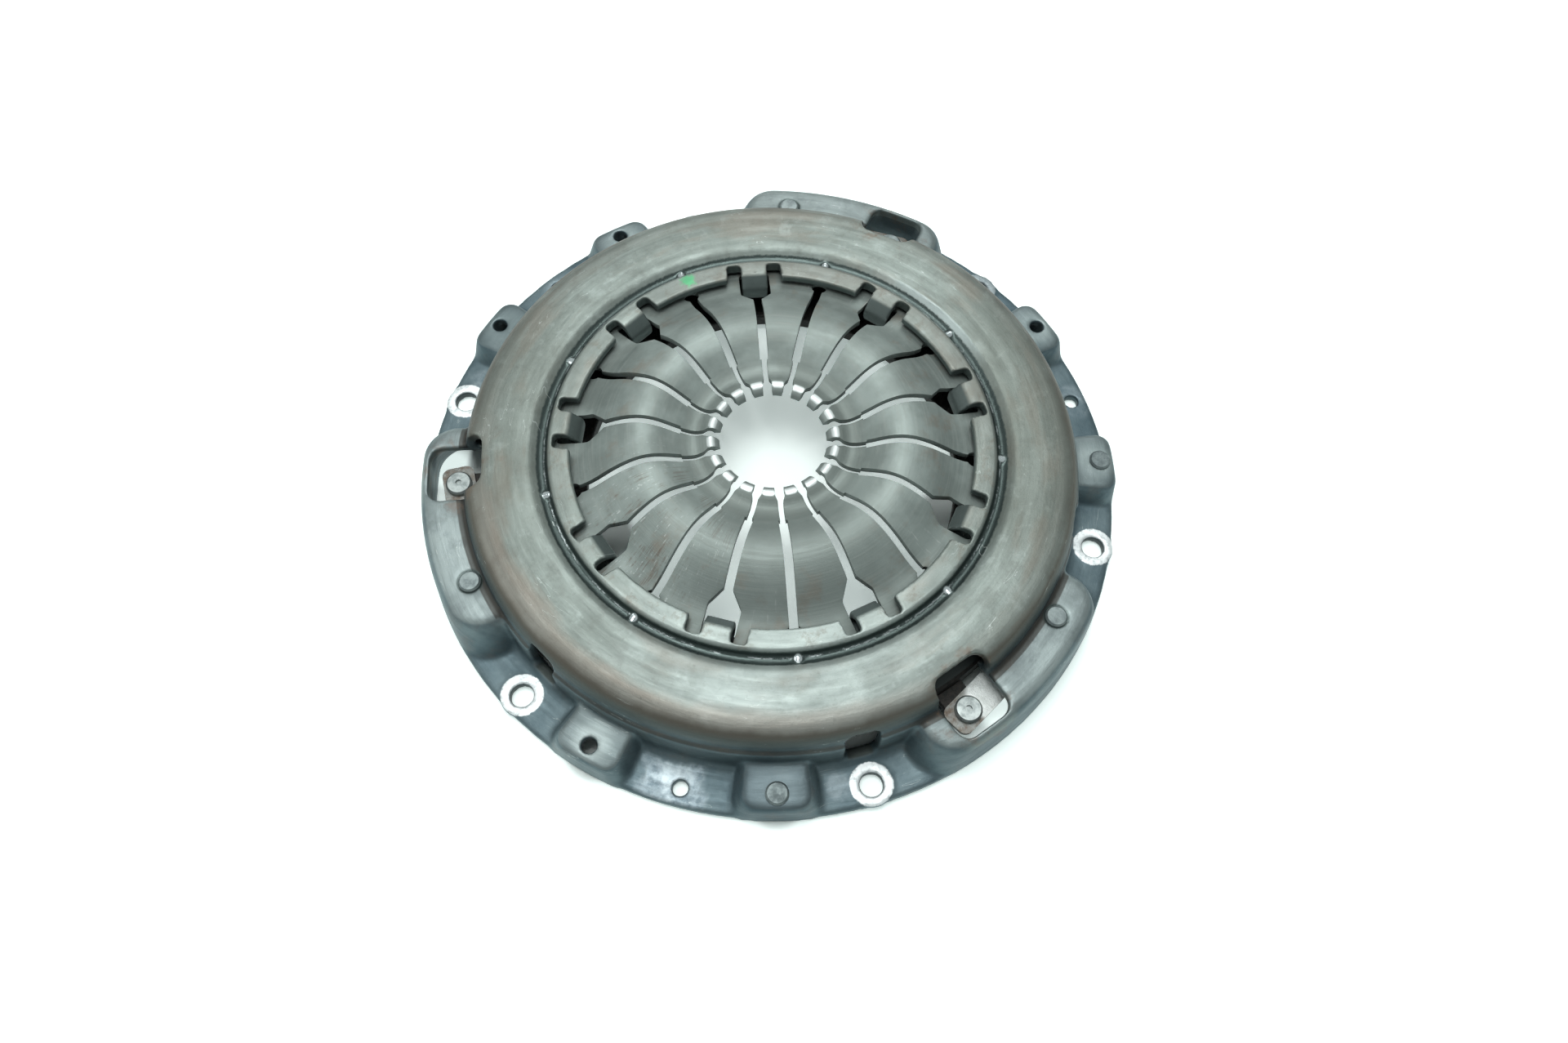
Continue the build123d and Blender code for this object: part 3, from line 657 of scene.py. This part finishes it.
def spring_part(name, operation):
    """The spring inside or outside its tilting circle, with broken edges."""
    bpy.ops.object.select_all(action="DESELECT")
    bpy.ops.mesh.primitive_cylinder_add(vertices=360, radius=SPRING_SPLIT, depth=0.2)
    drum = bpy.context.object
    part = working_copy("diaphragm_spring", name)
    apply(part, "BOOLEAN", operation=operation, solver="EXACT", object=drum)
    apply(part, "BEVEL", width=BROKEN_EDGE, segments=2, limit_method="ANGLE",
          angle_limit=math.radians(50))
    bpy.ops.object.shade_smooth_by_angle(angle=math.radians(40))
    bpy.data.objects.remove(drum)
    give_finish(part, SPRING)
    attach(part, "cover_body")
    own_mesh(part)
    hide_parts("diaphragm_spring")


def drive_strip(sector, leaf):
    """One strap leaf, from the plate's lug to the cover's lug."""
    node = f"strap_{sector + 1}_leaf_{leaf + 1}"
    strip = working_copy(node, f"drive_strip_{sector + 1}_{leaf + 1}")
    bpy.ops.object.shade_smooth_by_angle(angle=math.radians(35))
    give_finish(strip, STRAP)
    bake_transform(strip)
    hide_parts(node)


cover_pressing()
spring_part("spring_fingers", "INTERSECT")
spring_part("spring_cone", "DIFFERENCE")
for sector in range(SECTORS):
    for leaf in range(LEAVES):
        drive_strip(sector, leaf)


# ---- floor, light and camera ----

FLOOR_SIZE, FLOOR_DEPTH = 6, 0.0001     # the floor lies just under the part
FLOOR_LIFT = 0.30                       # how far its shadows are lifted
SHADED_RING = (0.100, 0.1285)           # under the cover no shadow is lifted
SHADED_TABS = ((0.0780, 157.8), (0.0780, 299.8))        # radius and angle
# floor seen through the windows, where it glows more as painted light
LIT_HOLES = ((0.1375, 133.0), (0.1335, 265.5))
LAMPS = {                               # place, side and power of each soft box
    "overhead": ((-0.08, 0.12, 1.1), 0.6, 8.2),
    "far_side": ((0.1, 0.9, 0.9), 0.6, 4),
    "left": ((-0.9, -0.1, 0.6), 0.5, 2.2),
}
VIEW_TURN = Matrix.Rotation(math.radians(-49.1), 4, "Z")    # of the camera and the lamps
CAMERA_RISE = math.radians(63.84)
CAMERA_ROLL = math.radians(3.49)
CAMERA_DISTANCE = 0.4385
CAMERA_AIM = (0.00635, -0.03172, 0.022)
CAMERA_LENS = 25.27
SENSOR_WIDTH = 36
NEAREST_SEEN = 0.01


def white_card():
    """Matt white card; to the eye and in reflections its shadows are a little lifted, and it
    glows more, as painted light, where seen through the spring's slots and the windows.
    """
    material, tree, shader = start_material("white_card", 0.0, 0.9)
    shader.inputs["Base Color"].default_value = linear("#eef7f4")
    rays = add(tree, RAYS).outputs
    seen = add(tree, LARGER, rays["Is Camera Ray"],
               add(tree, LARGER, rays["Is Glossy Ray"], rays["Is Transmission Ray"]))
    at = Place(tree)
    covered = band(tree, at.radius, *SHADED_RING, 0.003)
    for holes in (PAD_HOLES[0], PAD_HOLES[2]):
        covered = add(tree, LARGER, covered,
                      add(tree, EASE, at.distance_to(*holes), 0.012, 0.008))
    for radius, angle in SHADED_TABS:
        covered = add(tree, LARGER, covered, at.near(radius, angle, 0.018, 0.012))
    # the floor seen through the spring's slots glows more, as painted light
    lifted = overlap(tree, add(tree, MINUS, 1.0, covered),
                     add(tree, EASE, at.radius, 0.036, 0.052, 1.0, 1.4))
    # painted light: more glow on the floor seen through the windows
    for radius, angle in LIT_HOLES:
        lifted = add(tree, PLUS, lifted, at.near(radius, angle, 0.012, 0.006, 1.6))
    glow = add(tree, GLOW, "#e4f3f0", overlap(tree, seen, lifted, FLOOR_LIFT))
    both = add(tree, BOTH, shader, glow)
    tree.links.new(tree.nodes["Material Output"].inputs["Surface"], both.outputs[0])
    return material


def soft_lamp(name, place, size, power):
    """A square soft box that faces the clutch."""
    data = bpy.data.lights.new(name, "AREA")
    data.size, data.energy = size, power
    lamp = bpy.data.objects.new(name, data)
    bpy.context.scene.collection.objects.link(lamp)
    lamp.location = place
    lamp.rotation_euler = (-Vector(place)).to_track_quat("-Z", "Y").to_euler()


def camera_frame():
    """The camera's place and bearing: turned round the part, raised and rolled a little."""
    back = Vector((0, -math.cos(CAMERA_RISE), math.sin(CAMERA_RISE)))
    right = Vector((1, 0, 0))
    up = back.cross(right)
    right, up = (right * math.cos(CAMERA_ROLL) + up * math.sin(CAMERA_ROLL),
                 up * math.cos(CAMERA_ROLL) - right * math.sin(CAMERA_ROLL))
    place = Vector(CAMERA_AIM) + back * CAMERA_DISTANCE
    return VIEW_TURN @ Matrix((
        (right.x, up.x, back.x, place.x),
        (right.y, up.y, back.y, place.y),
        (right.z, up.z, back.z, place.z),
        (0, 0, 0, 1)))


bpy.ops.object.select_all(action="DESELECT")
bpy.ops.mesh.primitive_plane_add(size=FLOOR_SIZE, location=(0, 0, -FLOOR_DEPTH))
floor = bpy.context.object
floor.name = "floor"
floor.data.materials.append(white_card())

camera_data = bpy.data.cameras.new("camera")
camera_data.lens, camera_data.sensor_width = CAMERA_LENS, SENSOR_WIDTH
camera_data.clip_start = NEAREST_SEEN
camera = bpy.data.objects.new("camera", camera_data)
bpy.context.scene.collection.objects.link(camera)
camera.matrix_world = camera_frame()
bpy.context.scene.camera = camera

for name, (place, size, power) in LAMPS.items():
    soft_lamp(name, VIEW_TURN @ Vector(place), size, power)

world = bpy.data.worlds.new("studio")
bpy.context.scene.world = world
world.use_nodes = True
background = world.node_tree.nodes["Background"]
background.inputs["Color"].default_value = linear("#eef5f5")
background.inputs["Strength"].default_value = 0.58
bpy.context.scene.view_settings.view_transform = "Standard"
